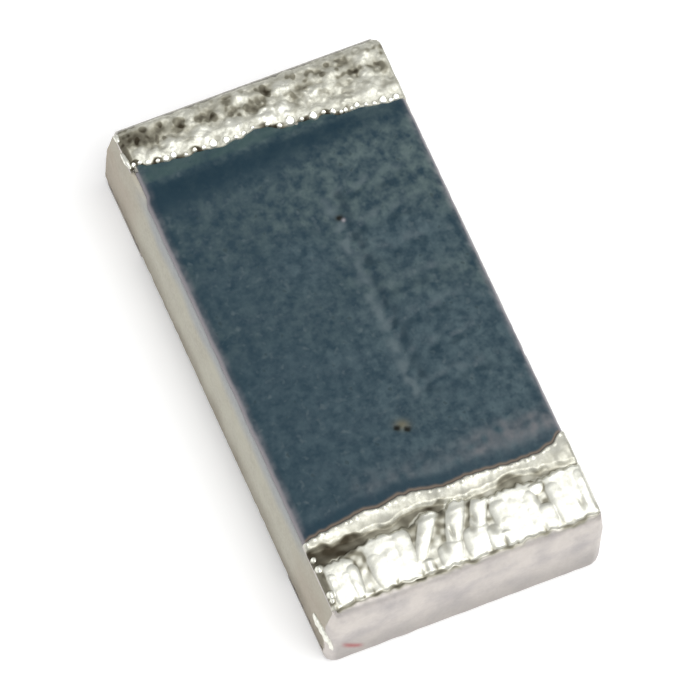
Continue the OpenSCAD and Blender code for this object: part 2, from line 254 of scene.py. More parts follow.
def domes(x, y, centres, radii, heights, power=1.0, back=1.0, lean=0.0):
    """Round lumps: at each point the highest of height * (1 - q ** power), where q is the squared distance
    from a lump's centre in its own radii, and nought outside every lump. Behind its centre a lump reaches
    back times as far, and it drifts aside by lean times the way along x."""
    top = np.zeros(np.broadcast(x, y).shape)
    leans = np.broadcast_to(lean, len(heights))
    for (along, across), (reach_x, reach_y), height, aside in zip(centres, radii, heights, leans):
        ahead = x - along
        reach = np.where(ahead < 0.0, reach_x * back, reach_x)
        q = (ahead / reach) ** 2 + ((y - across - aside * ahead) / reach_y) ** 2
        np.maximum(top, height * (1.0 - q ** power), out=top)
    return top


def scatter(draw, x, y, count, area, sizes, shapes, heights, power=1.0):
    """Domes at random places: the area is the nearest and the farthest place along x and half the width
    across, a dome's radii are a size times a shape for each axis, all in millimetres, and the heights are in
    micrometres. Each is drawn evenly between its two limits."""
    near, far, half = area
    centres = np.stack([draw.uniform(near, far, count), draw.uniform(-half, half, count)], axis=1) * MM
    radii = draw.uniform(*sizes, (count, 1)) * draw.uniform(*shapes, (count, 2)) * MM
    return domes(x, y, centres, radii, draw.uniform(*heights, count) * UM, power)


def rounded_line(way, places, heights, soften):
    """Straight runs through a few points, their corners rounded by averaging the line at seven steps within
    soften micrometres to either side."""
    steps = np.linspace(-soften, soften, 7) * UM
    return sum(np.interp(way + step, places, heights) for step in steps) / len(steps)


def line_at(line, y):
    """Place along the chip where one of the lines below crosses y: its rounded runs plus its ripples."""
    across, along, soften, waves = line
    place = rounded_line(y, np.array(across) * UM, np.array(along) * UM, soften)
    for height, size, seed in waves:
        place = place + height * UM * ripples(y, 0.0, size, seed)
    return place


# Lines across the chip, in micrometres: places across, places along from the middle of the chip, the reach
# over which corners are rounded, and ripples as (height, size, seed).

# Inner edge of the left tin, measured towards the left end: skewed and uneven, with small bulges.
LEFT_EDGE = (
    (-800, -700, -620, -560, -480, -400, -320, -220, -150, -100, -50, 0, 60, 105, 141, 180, 220, 269, 310,
     345, 385, 446, 513, 560, 600, 655, 730, 800),
    (1266, 1268, 1256, 1240, 1238, 1234, 1222, 1217, 1214, 1234, 1242, 1232, 1212, 1190, 1186, 1204, 1188,
     1174, 1186, 1182, 1162, 1152, 1152, 1146, 1130, 1116, 1114, 1108),
    16.0, ((3, 80, 41),))

# Inner edge of the plated strip, by the coat.
RIGHT_EDGE = (
    (-800, -730, -698, -600, -500, -400, -300, -200, -100, 0, 100, 200, 300, 421, 520, 602, 670,
     714, 748, 800),
    (1098, 1088, 1074, 1060, 1046, 1036, 1050, 1026, 1030, 1052, 1064, 1054, 1064, 1074, 1074, 1070, 1060,
     1034, 1006, 990),
    24.0, ((3, 60, 51),))

# Where the plated strip ends and the furrow begins.
STRIP_END = (
    (-800, -730, -611, -500, -400, -300, -200, -111, 0, 100, 200, 300, 400, 500, 590, 700, 765, 800),
    (1146, 1152, 1154, 1164, 1150, 1166, 1134, 1128, 1144, 1172, 1166, 1164, 1138, 1160, 1174, 1184,
     1196, 1200),
    30.0, ((4, 70, 53),))

# Where the furrow ends and the lumps of the pad begin.
PAD_START = (
    (-800, -712, -648, -548, -408, -320, -244, -200, -160, -93, -20, 10, 45, 78, 126, 180, 240, 303, 400, 484,
     530, 586, 698, 800),
    (1246, 1240, 1244, 1222, 1196, 1198, 1206, 1216, 1186, 1158, 1184, 1190, 1162, 1152, 1180, 1190, 1206,
     1200, 1200, 1210, 1216, 1210, 1202, 1214),
    26.0, ((5, 48, 61),))

# Where the lumps of the pad end over the end face, along the unrolled plating.
SEAM = (
    (-800, -700, -600, -500, -400, -300, -200, -100, 0, 100, 200, 300, 400, 500, 600, 700, 800),
    (1514, 1514, 1512, 1506, 1508, 1514, 1514, 1518, 1532, 1530, 1526, 1530, 1536, 1526, 1544, 1530, 1528),
    30.0, ((5, 60, 56), (4, 150, 67)))


def flank_half(z, ceramic, side):
    """Distance of the long side from the middle at height z: full in the middle, drawn in evenly towards the
    scribed top edge, more on the left side (side below nought) than on the right, and towards the bottom."""
    inset = np.where(np.asarray(side) < 0.0, ceramic.scribe_inset, ceramic.back_inset)
    top = np.clip((z - (CERAMIC_HIGH.z - ceramic.scribe_depth)) / ceramic.scribe_depth, 0.0, 1.0)
    bottom = np.clip((CERAMIC_LOW.z + ceramic.bottom_bevel - z) / ceramic.bottom_bevel, 0.0, 1.0)
    return CERAMIC_HIGH.y - top * inset - bottom * ceramic.bottom_bevel


def tube_piece(name, rings, values, material, stands_for):
    """Closed mesh from rings of points (station, place on the ring, xyz): quads between neighbouring rings,
    and one face over each end. The values are stored on the points for the material."""
    stations, places, _ = rings.shape
    index = np.arange(stations * places).reshape(stations, places)
    beside = np.roll(index, -1, axis=1)
    quads = np.stack([index[:-1], beside[:-1], beside[1:], index[1:]], axis=-1).reshape(-1, 4)
    points = rings.reshape(-1, 3)
    corner = points[quads]
    volume = np.einsum("ij,ij->", corner[:, 0], np.cross(corner[:, 1], corner[:, 2]))
    volume += np.einsum("ij,ij->", corner[:, 0], np.cross(corner[:, 2], corner[:, 3]))
    ends = [index[0][::-1].tolist(), index[-1].tolist()]
    if volume < 0.0:
        quads = quads[:, ::-1]
        ends = [face[::-1] for face in ends]
    mesh = bpy.data.meshes.new(name)
    mesh.from_pydata(points.tolist(), [], quads.tolist() + ends)
    mesh.polygons.foreach_set("use_smooth", np.ones(len(mesh.polygons), dtype=bool))
    mesh.set_sharp_from_angle(angle=SHARP_ANGLE)
    for key, value in values.items():
        layer = mesh.attributes.new(key, "FLOAT", "POINT")
        layer.data.foreach_set("value", np.ascontiguousarray(value, dtype=np.float32).ravel())
    mesh.materials.append(material)
    mesh.update()
    piece = bpy.data.objects.new(name, mesh)
    bpy.context.scene.collection.objects.link(piece)
    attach(piece, BODY)
    if stands_for:
        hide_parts(stands_for)


def on_rings(named, shape, hidden, ones=()):
    """Values for whole rings: each named value on the seen places, then nought on the hidden ones, or one for
    the names in ones."""
    values = {}
    for key, value in named.items():
        rest = np.full((shape[0], hidden), float(key in ones))
        values[key] = np.concatenate([np.broadcast_to(value, shape), rest], axis=1)
    return values


def coat_span(coat, share, y):
    """Places along the coat by their share of the way from its skewed left edge, tucked in under the
    left tin, to the edge of the plated strip, tucked in under that."""
    left = coat.left_edge + y * math.tan(coat.skew) - LEFT_TUCK * UM
    right = np.maximum(COAT_HIGH.x, line_at(RIGHT_EDGE, y)) + RIGHT_TUCK * UM
    return left + share * (right - left)


def trim_relief(coat, x, y):
    """Relief over the trim comb, as shares: Gaussian grooves along its back and its teeth, a ridge on one side
    of each, raised a little and painted lighter as a highlight, and painted shade on the other side, all
    broken up by ripples, and last the area of the teeth."""
    last = coat.trim_first + (coat.trim_teeth - 1) * coat.trim_pitch
    reach = ramp(x - coat.trim_first, -50, -10) * fall(x - last, 10, 80)
    broken = reach * np.clip(0.70 + 0.42 * ripples(x, y, 95, 11), 0.05, 1.6)
    back = y - coat.trim_line
    groove = broken * hump(back, 0, 30)
    ridge = broken * hump(back - 5 * UM * ripples(x, 0.0, 120, 12), -36, 33)
    dip_shade = broken * hump(back, 32, 26)
    span = ramp(y, 165, 230) * fall(y, 520, 660)
    for k in range(coat.trim_teeth):
        wander = 4 * UM * math.sin(2.3 * k) - 0.05 * back
        tooth = x - coat.trim_first - k * coat.trim_pitch - wander
        uneven = np.clip(0.50 + 0.42 * ripples(x, y, 110, 20 + k), 0.0, 1.3) * span
        groove = groove + 0.8 * uneven * hump(tooth, 0, 34)
        ridge = ridge + 0.32 * uneven * hump(tooth, -40, 32)
        dip_shade = dip_shade + 0.55 * uneven * hump(tooth, 38, 30)
    return groove, ridge, dip_shade, span * reach


def coat_marks(x, y):
    """Marks in the coat, as soft patches: the raised rim beside the double pit, its two holes, a dark speck
    and a pale dot on it."""
    ahead, aside = x - PIT_X * UM, y - PIT_Y * UM
    along = ahead * math.cos(PIT_TURN) + aside * math.sin(PIT_TURN)
    beside = aside * math.cos(PIT_TURN) - ahead * math.sin(PIT_TURN)
    rim = patch(along, beside, (0, 20), (40, 30))
    holes = patch(along, beside, (28, 0), (18, 15), 4) + patch(along, beside, (-28, 0), (18, 15), 4)
    speck = patch(x, y, (-582, 160), (17, 22))
    dot = patch(x, y, (-563, 176), (10, 10))
    return rim, holes, speck, dot


def coat_rings(coat, ceramic):
    """Top of the coat as a height over (along, across): a plateau with rounded shoulders along the sides and
    slopes at the ends, less the hollows over the trim cuts and the pit, plus grain. Each ring runs across the
    top and back along the ceramic."""
    share = np.linspace(0.0, 1.0, COAT_STATIONS)[:, None]
    side = np.linspace(-1.0, 1.0, COAT_ACROSS)[None, :]
    side = np.sign(side) * (1.0 - (1.0 - np.abs(side)) ** 1.08)
    rough_x = COAT_LOW.x + share * (COAT_HIGH.x - COAT_LOW.x)
    half = COAT_HIGH.y + 1.0 * UM * ripples(rough_x, 0.0, 260, 3)
    half = half + (side > 0.0) * (ceramic.scribe_inset - ceramic.back_inset)
    half = half - (side < 0.0) * 16 * UM * ramp(-rough_x, 980, 1040)
    y = side * half
    x = coat_span(coat, share, y)
    edge = half - np.abs(y)
    near = x - line_at(RIGHT_EDGE, y)

    groove, ridge, dip_shade, toothed = trim_relief(coat, x, y)
    rim, holes, speck, dot = coat_marks(x, y)
    foot = -1180 * UM
    slopes = 24 * UM * (1.0 - smooth_step(x, foot, foot + coat.end_slope))
    slopes = slopes + 15 * UM * ramp(x - COAT_HIGH.x, -130, 0)
    slant = 40 * UM * np.clip(-y / (600 * UM), -1.0, 1.0)
    # Smooth band on the slope down to the left terminal. Its darker colour is painted shade where the slope
    # turns away from the key lamp.
    band = ramp(x, -1165, -1105) * fall(x - slant, -1070, -895) * (1.0 - 0.35 * ramp(y, 350, 650))
    size = coat.grain_size / UM
    grain = ripples(x, y, size, 1, GRAIN_WAVES) + 0.6 * ripples(x, y, 0.55 * size, 2, GRAIN_WAVES)
    grain = grain * (1.0 - 0.75 * np.clip(band, 0.0, 1.0)) * ramp(edge, 0, 20)
    z = (COAT_HIGH.z - CERAMIC_HIGH.z) * (0.06 + 0.94 * quarter_round(edge, coat.shoulder))
    z = z - slopes * smooth_step(edge, 0.0, coat.shoulder)
    z = z + coat.trim_depth * (0.35 * ridge - groove) + coat.grain_height * grain
    z = z + UM * (2.5 * rim - 8.0 * holes - 5.0 * speck + 1.2 * ripples(x, y, 240, 4))
    z = np.maximum(z, 2.0 * UM) + CERAMIC_HIGH.z

    # Painted highlight on the coat's slope by the right terminal, stronger towards the right long side.
    lamplit = 0.28 * ramp(y, -500, -300) + 0.72 * ramp(y, 150, 420)
    lit_patch = hump(x, 920, 72) * lamplit * fall(y, 740, 785)
    lit_patch = np.clip(lit_patch * (0.9 + 0.35 * ripples(x, y, 80, 5)), 0.0, 1.0)
    # Painted shade on the coat just before the plated strip, where the strip's edge shades it.
    strip_shade = ramp(near, -95, -45) * (1.0 - 0.45 * ramp(y, 50, 350))
    dark = np.clip(holes + 1.3 * speck, 0.0, 1.0) * (1.0 - dot)
    # Painted light and shade on the pale grains: lighter towards the right long side, the left end and the
    # trim teeth, darker towards the left long side.
    far = fall(x, -900, -100)
    lean = np.where(y < 0.0, 0.40, 0.30) + 0.15 * far
    tone = 0.5 + 0.16 * far + lean * np.clip(y / (650 * UM), -1.0, 1.0) + 0.06 * toothed
    named = {
        "smooth_shaded_band": np.maximum(band, 0.85 * strip_shade),
        "ridge": np.clip(ridge, 0.0, 1.0),
        "dip_shade": np.clip(dip_shade, 0.0, 1.0),
        "lit_patch": lit_patch * (1.0 - 0.8 * strip_shade),
        "thin": np.maximum(fall(edge, 1, 22), dot),
        "bare": fall(edge, 6, 55),
        "brown": np.clip(0.9 * rim, 0.0, 1.0),
        # Besides the pit and the speck, the dark share holds a little painted shade where the coat meets the
        # plated strip.
        "dark": np.maximum(dark, 0.20 * ramp(near, -8, 4)),
        "green": fall(x, -1185, -1150) * (0.8 + 0.2 * ripples(x, y, 90, 6)),
        "upper": fall(x + 250 * UM * ripples(x, y, 500, 7), -900, 350),
        "rust": 0.75 * hump(near, -5, 9),
        # Painted shade along both long sides, away from the left end.
        "tone": tone - 0.08 * (1.0 - far) * ramp(np.abs(y), 200, 450),
    }

    back = np.linspace(1.0, -1.0, COAT_UNDER)[None, :]
    under_y = back * np.where(back < 0.0, -y[:, :1], y[:, -1:])
    under_x = coat_span(coat, share, under_y)
    under = np.stack([under_x, under_y, np.full_like(under_x, CERAMIC_HIGH.z)], axis=-1)
    rings = np.concatenate([np.stack([x, y, z], axis=-1), under], axis=1)
    return rings, on_rings(named, x.shape, COAT_UNDER)


def ceramic_rings(ceramic):
    """Section of the block carried along it: straight top and bottom, sides that lean in to the scribed top
    edge, softened corners, and a fine unevenness on the sides."""
    soft = 24 * UM
    z_side = np.linspace(CERAMIC_LOW.z, CERAMIC_HIGH.z, CERAMIC_STEPS)
    corners = 12 * UM * (1.0 - quarter_round(CERAMIC_HIGH.z - z_side, 12 * UM))
    corners = corners + 6 * UM * (1.0 - quarter_round(z_side - CERAMIC_LOW.z, 14 * UM))

    def profile(side):
        """Distances of one long side from the middle, from the bottom up."""
        lean = [flank_half(z_side + step, ceramic, side) for step in (-soft, 0.0, soft)]
        return sum(lean) / len(lean) - corners

    right, left = profile(1.0), profile(-1.0)
    over = np.linspace(right[-1], -left[-1], CERAMIC_FLAT + 2)[1:-1]
    under = np.linspace(-left[0], right[0], CERAMIC_FLAT + 2)[1:-1]
    flat, wall = np.zeros(CERAMIC_FLAT), np.ones(CERAMIC_STEPS)
    section_y = np.concatenate([right, over, -left[::-1], under])
    section_z = np.concatenate([z_side, flat + CERAMIC_HIGH.z, z_side[::-1], flat + CERAMIC_LOW.z])
    on_side = np.concatenate([wall, flat, wall, flat])
    stations = np.linspace(CERAMIC_LOW.x, CERAMIC_HIGH.x, CERAMIC_STATIONS)[:, None]
    x, y, z = np.broadcast_arrays(stations, section_y, section_z)
    sign = np.sign(section_y)
    uneven = ripples(x, z + sign * MM, 60, 31) + 1.4 * ripples(x, z + sign * MM, 210, 32)
    y = y - sign * on_side * np.abs(ceramic.roughness_height * uneven)

    height = (z - CERAMIC_LOW.z) / (CERAMIC_HIGH.z - CERAMIC_LOW.z)
    drift = 0.05 * ripples(x, z, 330, 33)
    at_end = ramp(np.abs(x), 950, 1250)
    values = {
        "upper": smooth_step(height + 0.35 * drift, 0.79, 0.97) * (1.0 - at_end),
        # Painted shade, strongest at the bottom edge and gone by half height.
        "lower": 1.0 - smooth_step(height + drift, 0.0, 0.50),
        "rosy": at_end * (1.0 - 0.6 * smooth_step(height + drift, 0.60, 0.90)),
    }
    return np.stack([x, y, z], axis=-1), values


def end_path(tin, end, top_radius):
    """Path of the plating round the right end, in five runs: the top, the upper quarter circle, the end face,
    the lower quarter circle and the solder side. Gives for each station x and z, the outward direction's x
    and z, the way gone since the top, the share of the top, and one on the top or nought past it."""
    low, top = tin.low_radius, TIN_HIGH.z
    turn_x, low_x = end - top_radius, end - low
    on_top, on_upper, on_face, on_lower, on_pad = TIN_STATIONS
    share = np.linspace(0.0, 1.0, on_top)
    upper = np.linspace(0.0, QUARTER, on_upper)[1:]
    down = np.linspace(top - top_radius, low, on_face)[1:]
    lower = np.linspace(0.0, QUARTER, on_lower)[1:]
    inward = np.linspace(low_x, TIN_LOW.x, on_pad)[1:]
    face = top_radius * QUARTER
    foot = face + top - top_radius - low
    runs = (
        (turn_x, top, 0.0, 1.0, 0.0, share, 1.0),
        (turn_x + top_radius * np.sin(upper), top - top_radius + top_radius * np.cos(upper),
         np.sin(upper), np.cos(upper), top_radius * upper, 1.0, 0.0),
        (end, down, 1.0, 0.0, face + top - top_radius - down, 1.0, 0.0),
        (low_x + low * np.cos(lower), low - low * np.sin(lower),
         np.cos(lower), -np.sin(lower), foot + low * lower, 1.0, 0.0),
        (inward, 0.0, 0.0, -1.0, foot + low * QUARTER + low_x - inward, 1.0, 0.0),
    )
    return np.concatenate([np.stack(np.broadcast_arrays(*run)) for run in runs], axis=1)[..., None]


def wrap_rings(tin, ceramic, end, top_radius, line, height_of):
    """Plating sheet wrapped round one end, as if that end were the right one. The path runs from the edge on
    the coat along the top, round the end and back under it. Each ring runs across the outside, down the side
    of the sheet to the ceramic, back along the inside and up the other side."""
    base_x, base_z, nx, nz, run, share, on_top = end_path(tin, end, top_radius)
    turn_x, corner = end - top_radius, tin.corner_radius

    def half_at(x, z, side):
        """Distance from the middle of one side, inside the leaning sides and the rounded upright corners."""
        past = np.clip(x - (end - corner), 0.0, corner)
        return flank_half(z, ceramic, side) - corner + np.sqrt(np.maximum(corner ** 2 - past ** 2, 0.0))

    def path_x(y):
        """Distance along the chip of the path at each station and place across."""
        edge = line_at(line, y)
        return np.where(on_top > 0.5, edge + share * (turn_x - edge), base_x)

    side = np.linspace(-1.0, 1.0, TIN_ACROSS)[None, :]
    half = half_at(base_x, base_z, side)
    y = side * half
    x = path_x(y)
    unrolled = np.where(on_top > 0.5, x, turn_x + run)
    lift, tarnish_and_shade, satin, matte, marked = height_of(unrolled, y, unrolled - line_at(line, y))
    lift = lift - tin.long_edge * (1.0 - quarter_round(half - np.abs(y), tin.long_edge)) * np.abs(nz)
    outer = np.stack([x + lift * nx, y, base_z + lift * nz], axis=-1)

    thick = TIN_HIGH.z - NICKEL_HIGH.z
    deep_x, deep_z = end - CERAMIC_HIGH.x + SINK_X * UM, CERAMIC_LOW.z + SINK_Z * UM
    mix = np.linspace(0.0, 1.0, TIN_WALL)[1:][None, :]
    walls = []
    for column, sign in ((-1, 1.0), (0, -1.0)):
        first = outer[:, column]
        wall_x = first[:, :1] + mix * (x[:, column][:, None] - deep_x * nx - first[:, :1])
        wall_z = first[:, 2:3] + mix * (base_z - deep_z * nz - first[:, 2:3])
        walls.append(np.stack([wall_x, sign * half_at(wall_x, wall_z, sign), wall_z], axis=-1))
    inside_y = np.linspace(1.0, -1.0, TIN_INSIDE)[None, :] * (walls[0][:, -1:, 1] - INSIDE_INSET * UM)
    inside_x = path_x(inside_y) - thick * nx
    inside_z = base_z - thick * nz - 10 * UM * on_top * (share < 0.4) + 0.0 * inside_y
    inside = np.stack([inside_x, inside_y, inside_z], axis=-1)
    rings = np.concatenate([outer, walls[0], inside, walls[1][:, ::-1]], axis=1)

    aside = y - STAIN_ACROSS * UM
    mark = marked * hump(unrolled - 0.9 * aside, STAIN_ALONG, 27) * np.exp(-(aside / (58 * UM)) ** 4)
    named = {"tarnish_and_shade": tarnish_and_shade, "satin": satin, "mark": mark, "shade": ramp(unrolled, 1760, 2110),
             "matte": matte * (1.0 - satin)}
    return rings, on_rings(named, y.shape, rings.shape[1] - TIN_ACROSS, ones=("satin",))


# Raised lines of tin put where the edges show glints, so that they catch the lamps, in micrometres: half
# width, half height and the points of the line.
GLINT_RIDGES = {
    "glint_ridge_side": (
        18, 42, ((1352, -800, 271), (1421, -800, 281), (1487, -800, 310),
                 (1532, -789, 281), (1553, -764, 180))),
    "glint_ridge_long": (13, 10, ((-1380, -775, 607), (-1317, -772, 612), (-1262, -764, 613))),
    "glint_ridge_short": (13, 10, ((-1494, -764, 604), (-1462, -766, 609), (-1432, -765, 611))),
}


def glint_ridge_rings(out_half, up_half, points):
    """Narrow raised line of tin: an ellipse carried along a line through a few points, its flat axis level
    and square to the line, and drawn to a point at both ends."""
    points = np.array(points) * UM
    reached = np.concatenate([[0.0], np.cumsum(np.linalg.norm(np.diff(points, axis=0), axis=1))])
    run = np.linspace(0.0, reached[-1], 90)
    path = np.stack([rounded_line(run, reached, column, 18.0) for column in points.T], axis=1)
    ahead = np.gradient(path, axis=0)
    level = np.stack([ahead[:, 1], -ahead[:, 0]], axis=1)
    level = level / np.linalg.norm(level, axis=1, keepdims=True)
    size = np.sin(math.pi * np.clip(run / reached[-1], 0.002, 0.998)) ** 0.35
    size = (size * (1.0 + 0.22 * ripples(run, 0.0, 70, 71)))[:, None]
    around = np.linspace(0.0, math.tau, 17)[None, :-1]
    out = out_half * UM * size * np.cos(around)
    up = up_half * UM * size * np.sin(around)
    sides = path[:, None, :2] + out[..., None] * level[:, None, :]
    rings = np.concatenate([sides, (path[:, 2:] + up)[..., None]], axis=-1)
    return rings, dict.fromkeys(("tarnish_and_shade", "satin", "mark", "shade"), np.zeros(out.shape))


def rimmed(lift, depth, radius, drop):
    """Lift whose first radius from the edge rises along a quarter circle from drop down, in micrometres."""
    rim = quarter_round(depth, radius * UM)
    return np.where(depth < radius * UM, -drop * UM + rim * (lift + drop * UM), lift)


# Left tin, in micrometres. Beads on the lip: place across and radius.
LEFT_BEADS = (
    (-740, 15), (-705, 12), (-664, 15), (-610, 12), (-564, 20), (-519, 19), (-455, 12), (-400, 13),
    (-350, 14), (-294, 25), (-220, 22), (-165, 13), (-117, 15), (-60, 12), (20, 13), (78, 15),
    (141, 28), (205, 13), (269, 25), (330, 13), (378, 17), (420, 12), (446, 14), (480, 12), (513, 17),
    (560, 13), (605, 14), (655, 23), (695, 15), (729, 20))

# Places across where the lip is open between its beads and carries its darkest painted shadow.
LEFT_GAPS = (-740, -700, -620, -500, -380, 20, 60, 220, 340, 420)

# Large lumps: places along and across, radius and height.
LEFT_LUMPS = (
    (1335, -509, 62, 12), (1326, -326, 66, 14), (1317, -142, 66, 14), (1296, 37, 70, 15), (1297, 132, 58, 13),
    (1423, 173, 66, 12), (1340, 315, 58, 11), (1332, 624, 56, 10), (1427, 647, 58, 10), (1275, -420, 50, 9),
    (1300, -610, 52, 9), (1470, 330, 52, 8), (1440, -60, 55, 9), (1360, -690, 50, 8), (1230, 480, 45, 7),
    (1400, 440, 52, 8), (1250, 590, 48, 7), (1460, -380, 50, 8), (1380, -230, 50, 7), (1210, 300, 46, 7))

# Dark hollows: places along and across, and reach.
LEFT_HOLLOWS = (
    (1430, -681, 36), (1376, -610, 40), (1393, -427, 38), (1402, -259, 40), (1376, -129, 34), (1375, 35, 40),
    (1354, 279, 44), (1352, 591, 34), (1440, 534, 32), (1238, 471, 38), (1267, 755, 34), (1334, -560, 24),
    (1434, -530, 28), (1344, -20, 26), (1314, 220, 30), (1414, 400, 24), (1274, 400, 26), (1454, -130, 26),
    (1304, 520, 22), (1424, 90, 24), (1334, 700, 24))

# Seed of the scattered lumps and grains, and their numbers, areas, sizes, shapes and heights.
LEFT_SEED = 42
LEFT_SMALL = (260, (1.14, 1.54, 0.78), (0.022, 0.048), (0.75, 1.3), (1.5, 5.0), 1.2)
LEFT_GRAINS = (520, (1.14, 1.55, 0.78), (0.010, 0.021), (0.85, 1.2), (0.6, 2.2))

# Levels of the lip and of the feet of its beads under the top, and rise of the tin behind the lip.
LIP_LEVEL, BEAD_LEVEL, INNER_RISE = -20, -19, 5


def left_heights(along, y, depth):
    """Lift of the left tin: a lip that falls to the coat, lumps of several sizes with hollows between them, a
    row of beads on the lip, and an even end face. With it come the shares of tarnish and painted shade, satin,
    matte and stain."""
    draw = np.random.default_rng(LEFT_SEED)
    spec = np.array(LEFT_LUMPS) * UM
    lumps = domes(along, y, spec[:, :2], spec[:, 2:3] * (0.8, 1.15), 0.75 * spec[:, 3], 1.2, 1.5)
    crest = ramp(lumps, 4, 9)
    lumps = lumps + scatter(draw, along, y, *LEFT_SMALL)
    lumps = lumps + UM * (3 + 2.6 * ripples(along, y, 84, 49) + 0.5 * ripples(along, y, 44, 50))
    grains = scatter(draw, along, y, *LEFT_GRAINS)
    hollows = np.maximum.reduce([
        patch(along, y, (place, across), (reach, 1.3 * reach)) for place, across, reach in LEFT_HOLLOWS])
    hollows = np.clip(hollows * (0.95 + 0.25 * ripples(along, y, 42, 47)), 0.0, 1.0)
    beads = np.zeros(y.shape)
    for across, radius in np.array(LEFT_BEADS) * UM:
        ahead = along - (line_at(LEFT_EDGE, across) + 0.95 * radius)
        inside = smooth_step(1.0 - (ahead ** 2 + (y - across) ** 2) / radius ** 2, 0.0, 0.4)
        beads = np.maximum(beads, inside * (0.5 * radius + 0.42 * ahead))

    body = 0.8 * lumps + grains - 9 * UM * hollows + 2.5 * UM * ripples(along, y, 190, 43)
    body = body * (1.0 - 0.75 * ramp(along, 1490, 1535))
    inner = ramp(depth, 5, 70)
    lift = LIP_LEVEL * UM + INNER_RISE * UM * inner + body * (0.35 + 0.65 * inner)
    lift = np.maximum(lift, np.where(beads > 0.0, BEAD_LEVEL * UM + beads, -1.0))
    lift = rimmed(lift, depth, 12, 32)
    even = ramp(along, 1552, 1580)
    lift = lift * (1.0 - even) + 0.7 * UM * ripples(along, y, 120, 44) * even

    stains = smooth_step(ripples(along, y, 95, 45) + 0.6 * ripples(along, y, 45, 46), 0.1, 1.8)
    corner = ramp(-y, 480, 700) * ramp(along, 1355, 1400)
    tarnish_and_shade = 0.24 + 0.20 * fall(body, 0, 11) + 0.32 * stains + 0.27 * hollows + 0.26 * corner
    tarnish_and_shade = tarnish_and_shade * (0.48 + 0.52 * ramp(along + 0.03 * y, 1270, 1400)) * (1.0 - even)
    tarnish_and_shade = tarnish_and_shade * (1.0 - 0.7 * crest) * (1.0 - 0.35 * ramp(along, 1450, 1490))
    verge = ramp(-y, 715, 745) * ramp(along, 1225, 1250) * fall(along, 1400, 1450)
    between = fall(beads, 0.5, 3)
    tarnish_and_shade = np.maximum(tarnish_and_shade, 0.8 * verge) * between
    # Painted shadow along the lip's edge by the coat, a little everywhere and darkest at the open places
    # between the beads.
    opened = np.maximum.reduce([hump(y, place, 42) for place in LEFT_GAPS])
    lip_shadow = between * fall(depth - 12 * UM * ripples(along, y, 120, 48), 10, 36) * (0.30 + 0.70 * opened)
    matte = between * (1.0 - 0.6 * crest)
    return lift, np.clip(np.maximum(tarnish_and_shade, lip_shadow), 0.0, 1.0), even, matte, 0.0


# Right tin, in micrometres. Lumps of the pad: places along and across, reaches along and across, height, and
# the drift aside in thousandths of the way along.
RIGHT_LUMPS = (
    (1300, -650, 235, 100, 12, 0), (1340, -700, 165, 42, 14, 0), (1335, -592, 185, 46, 14, 0),
    (1240, -375, 300, 138, 14, 0), (1262, -290, 260, 70, 15, 0), (1320, -440, 200, 62, 14, 0),
    (1195, -92, 290, 56, 15, -600), (1440, -200, 85, 48, 9, 0), (1205, 62, 330, 60, 15, -450),
    (1400, -45, 135, 76, 14, -250), (1225, 190, 320, 56, 14, -450), (1370, 112, 165, 80, 14, -200),
    (1235, 362, 305, 138, 14, 0), (1290, 290, 240, 70, 15, 0), (1300, 440, 235, 60, 14, 0),
    (1235, 672, 305, 132, 14, 0), (1280, 735, 240, 50, 15, 0), (1300, 600, 230, 60, 14, 0),
    (1440, 262, 95, 60, 13, 0), (1390, 505, 140, 62, 13, 0), (1250, 500, 60, 55, 12, 0),
    (1400, 205, 130, 60, 13, 0))

# Beads along the left edge of the pad: places along and across, and size.
EDGE_BEADS = ((1196, -748, 16), (1256, -746, 20), (1414, -744, 22), (1450, -748, 15))

# Flat dull places on the lumps: places along and across, and reaches along and across.
RIGHT_FACETS = (
    (1380, -75, 46, 20), (1294, 129, 34, 15), (1428, 700, 36, 15), (1322, 505, 26, 26), (1470, -215, 60, 14),
    (1270, -515, 80, 26), (1380, 205, 34, 24), (1330, -10, 40, 12), (1345, 100, 26, 18))

# Notches between the ends of the lumps at the seam: place across and length.
NOTCHES = (
    (-740, 70), (-630, 40), (-580, 35), (-520, 75), (-385, 65), (-240, 55), (-160, 110), (20, 60), (160, 55),
    (240, 110), (300, 30), (465, 80), (695, 25))

# How dark the furrow is painted, in hundredths, at places across: painted shadow below the step up to the pad.
FURROW_SHADOW = (92, 92, 100, 92, 66, 54, 86, 72, 80, 30, 52, 50, 80, 50, 55, 46, 46)
FURROW_PLACES = (-800, -700, -600, -500, -400, -300, -200, -100, 0, 100, 200, 300, 400, 500, 600, 700, 800)

# Seed of the scattered beads and lumps, number of the strip's beads, and the small lumps' number, area, sizes,
# shapes and heights.
RIGHT_SEED = 52
STRIP_BEADS = 34
RIGHT_SMALL = (60, (1.22, 1.52, 0.77), (0.012, 0.034), (0.8, 1.25), (0.4, 1.5))

# Level of the furrow's floor under the top, rises of the strip and of the pad above it, and how far the pad
# and the top of the end face lie lower towards the end.
FURROW_LEVEL, STRIP_RISE, PAD_RISE, PAD_FALL, FACE_FALL = -31, 25, 20, 19, 22


